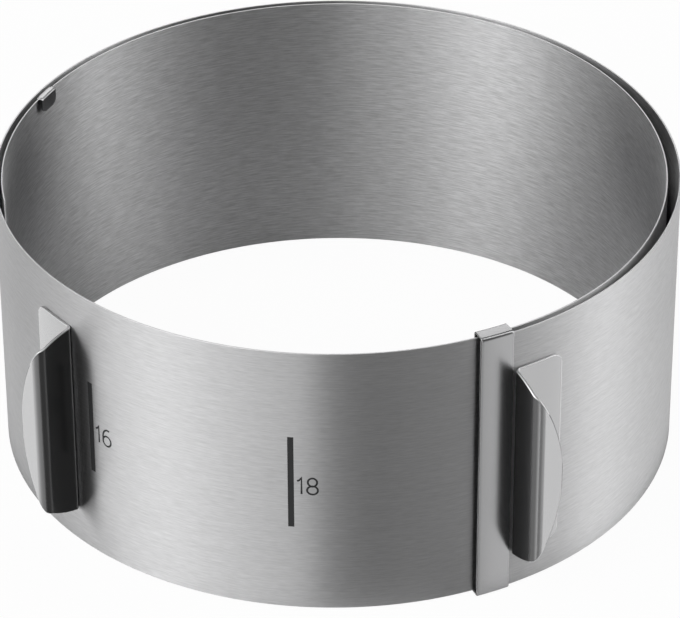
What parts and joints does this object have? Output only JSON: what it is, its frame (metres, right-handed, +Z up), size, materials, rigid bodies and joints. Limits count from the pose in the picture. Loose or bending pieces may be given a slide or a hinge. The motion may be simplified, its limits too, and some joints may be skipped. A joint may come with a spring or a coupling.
{
  "type": "adjustable cake ring",
  "caption": "Adjustable cake ring: a tall steel spring strip wound on itself, held by an end clip, with two half-moon pinch handles, a size scale and a rim hook",
  "frame": {"origin": "on the surface the ring stands on, under the middle of its footprint at the stored setting", "axes": "+Z up, -Y toward the side with the scale and the handles, +X to the right of someone who faces the scale"},
  "size_m": [0.1972, 0.1963, 0.0866],
  "materials": {
    "strip_steel": "brushed along the strip",
    "clip_steel": "smooth, lightly polished",
    "handle_steel": "smooth, lightly polished"
  },
  "bodies": {
    "segment_01": {"strip_01": "strip_steel", "end_clip": "clip_steel", "right_handle": "handle_steel"},
    "segment_02": {"strip_02": "strip_steel"},
    "segment_03": {"strip_03": "strip_steel"},
    "segment_04": {"strip_04": "strip_steel"},
    "segment_05": {"strip_05": "strip_steel"},
    "segment_06": {"strip_06": "strip_steel"},
    "segment_07": {"strip_07": "strip_steel"},
    "segment_08": {"strip_08": "strip_steel", "left_handle": "handle_steel"},
    "segment_09": {"strip_09": "strip_steel"},
    "segment_10": {"strip_10": "strip_steel"},
    "segment_11": {"strip_11": "strip_steel"},
    "segment_12": {"strip_12": "strip_steel"},
    "segment_13": {"strip_13": "strip_steel"},
    "segment_14": {"strip_14": "strip_steel"},
    "segment_15": {"strip_15": "strip_steel"},
    "segment_16": {"strip_16": "strip_steel", "rim_hook": "clip_steel"},
    "segment_17": {"strip_17": "strip_steel"}
  },
  "joints": [
    {"name": "flex_01", "type": "hinge", "parent": "segment_02", "child": "segment_01", "pos_m": [0.08567, -0.04844, 0.0433], "axis": [0, 0, -1], "range_deg": [-12.73, 8.49]},
    {"name": "flex_02", "type": "hinge", "parent": "segment_03", "child": "segment_02", "pos_m": [0.09772, 0.01141, 0.0433], "axis": [0, 0, -1], "range_deg": [-12.44, 8.29]},
    {"name": "flex_03", "type": "hinge", "parent": "segment_04", "child": "segment_03", "pos_m": [0.07231, 0.06693, 0.0433], "axis": [0, 0, -1], "range_deg": [-12.44, 8.29]},
    {"name": "flex_04", "type": "hinge", "parent": "segment_05", "child": "segment_04", "pos_m": [0.0191, 0.09685, 0.0433], "axis": [0, 0, -1], "range_deg": [-12.45, 8.3]},
    {"name": "flex_05", "type": "hinge", "parent": "segment_06", "child": "segment_05", "pos_m": [-0.04152, 0.08964, 0.0433], "axis": [0, 0, -1], "range_deg": [-12.52, 8.34]},
    {"name": "flex_06", "type": "hinge", "parent": "segment_07", "child": "segment_06", "pos_m": [-0.08618, 0.04803, 0.0433], "axis": [0, 0, -1], "range_deg": [-12.6, 8.4]},
    {"name": "flex_07", "type": "hinge", "parent": "segment_08", "child": "segment_07", "pos_m": [-0.09756, -0.01194, 0.0433], "axis": [0, 0, -1], "range_deg": [-12.67, 8.44]},
    {"name": "flex_08", "type": "hinge", "parent": "segment_08", "child": "segment_09", "pos_m": [-0.07118, -0.06698, 0.0433], "axis": [0, 0, 1], "range_deg": [-12.83, 8.55]},
    {"name": "flex_09", "type": "hinge", "parent": "segment_09", "child": "segment_10", "pos_m": [-0.01728, -0.0956, 0.0433], "axis": [0, 0, 1], "range_deg": [-12.66, 8.43]},
    {"name": "flex_10", "type": "hinge", "parent": "segment_10", "child": "segment_11", "pos_m": [0.04307, -0.08655, 0.0433], "axis": [0, 0, 1], "range_deg": [-12.8, 8.53]},
    {"name": "flex_11", "type": "hinge", "parent": "segment_11", "child": "segment_12", "pos_m": [0.08614, -0.04332, 0.0433], "axis": [0, 0, 1], "range_deg": [-12.9, 8.6]},
    {"name": "flex_12", "type": "hinge", "parent": "segment_12", "child": "segment_13", "pos_m": [0.09489, 0.01706, 0.0433], "axis": [0, 0, 1], "range_deg": [-12.94, 8.62]},
    {"name": "flex_13", "type": "hinge", "parent": "segment_13", "child": "segment_14", "pos_m": [0.06579, 0.07069, 0.0433], "axis": [0, 0, 1], "range_deg": [-12.96, 8.63]},
    {"name": "flex_14", "type": "hinge", "parent": "segment_14", "child": "segment_15", "pos_m": [0.01037, 0.0962, 0.0433], "axis": [0, 0, 1], "range_deg": [-12.97, 8.65]},
    {"name": "flex_15", "type": "hinge", "parent": "segment_15", "child": "segment_16", "pos_m": [-0.04926, 0.08334, 0.0433], "axis": [0, 0, 1], "range_deg": [-13.18, 8.78]},
    {"name": "flex_16", "type": "hinge", "parent": "segment_16", "child": "segment_17", "pos_m": [-0.08918, 0.03723, 0.0433], "axis": [0, 0, 1], "range_deg": [-12.45, 8.3]}
  ],
  "couplings": [
    {"joint": "flex_01", "follows": "flex_08", "ratio": 0.9925},
    {"joint": "flex_02", "follows": "flex_08", "ratio": 0.9696},
    {"joint": "flex_03", "follows": "flex_08", "ratio": 0.9697},
    {"joint": "flex_04", "follows": "flex_08", "ratio": 0.9707},
    {"joint": "flex_05", "follows": "flex_08", "ratio": 0.9755},
    {"joint": "flex_06", "follows": "flex_08", "ratio": 0.9822},
    {"joint": "flex_07", "follows": "flex_08", "ratio": 0.9872},
    {"joint": "flex_09", "follows": "flex_08", "ratio": 0.9864},
    {"joint": "flex_10", "follows": "flex_08", "ratio": 0.9975},
    {"joint": "flex_11", "follows": "flex_08", "ratio": 1.0054},
    {"joint": "flex_12", "follows": "flex_08", "ratio": 1.0083},
    {"joint": "flex_13", "follows": "flex_08", "ratio": 1.0099},
    {"joint": "flex_14", "follows": "flex_08", "ratio": 1.0112},
    {"joint": "flex_15", "follows": "flex_08", "ratio": 1.0272},
    {"joint": "flex_16", "follows": "flex_08", "ratio": 0.9705}
  ]
}
